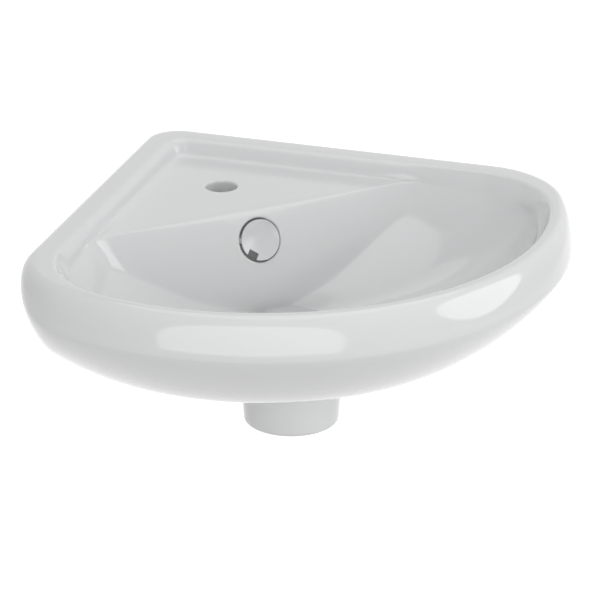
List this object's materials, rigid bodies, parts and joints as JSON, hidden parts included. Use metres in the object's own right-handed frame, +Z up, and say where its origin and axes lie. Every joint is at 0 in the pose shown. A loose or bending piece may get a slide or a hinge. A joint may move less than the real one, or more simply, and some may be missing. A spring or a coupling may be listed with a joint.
{
  "type": "corner basin",
  "caption": "Wall-hung corner washbasin with a rolled rim, tap ledge with one tap hole, round overflow, outlet boss, push-button waste and wall fixings.",
  "frame": {"origin": "corner of the room, where the two walls meet, at rim height", "axes": "+Z up, the front faces -Y, the walls run from the Z axis at 45 degrees to either side of -Y, and the basin is mirrored about X = 0 but for the overflow cover's notch and legs"},
  "size_m": [0.4926, 0.4677, 0.182],
  "materials": {
    "glaze": "gloss",
    "cover_white": "gloss",
    "chrome": "polished",
    "brass": "satin",
    "seal_rubber": "matte",
    "natural_nylon": "satin",
    "spring_steel": "satin",
    "zinc_steel": "satin",
    "grey_nylon": "matte"
  },
  "bodies": {
    "basin": {"basin_body": "glaze", "waste_body": "chrome", "waste_top_seal": "seal_rubber", "waste_lower_seal": "seal_rubber", "waste_slip_washer": "natural_nylon", "waste_backnut": "brass", "cartridge_housing": "brass", "cartridge_gland": "natural_nylon", "fixing_studs": "zinc_steel", "fixing_wall_plugs": "grey_nylon", "fixing_bushes": "natural_nylon", "fixing_washers": "zinc_steel", "fixing_nuts": "zinc_steel", "plug_spring": "spring_steel"},
    "plug": {"plug_cap": "chrome", "plug_seal": "seal_rubber", "plug_spindle": "brass", "plug_latch": "natural_nylon"},
    "overflow_cover": {"overflow_cover": "cover_white"}
  },
  "joints": [
    {"name": "plug_press", "type": "slide", "parent": "basin", "child": "plug", "axis": [0, 0, 1], "range_m": [-0.0085, 0], "stiffness_N_per_m": 400, "springref_m": 0.02, "deforming": ["plug_spring"]},
    {"name": "overflow_cover_pull", "type": "slide", "parent": "basin", "child": "overflow_cover", "axis": [0, -0.9336, 0.3584], "range_m": [0, 0.03]}
  ]
}
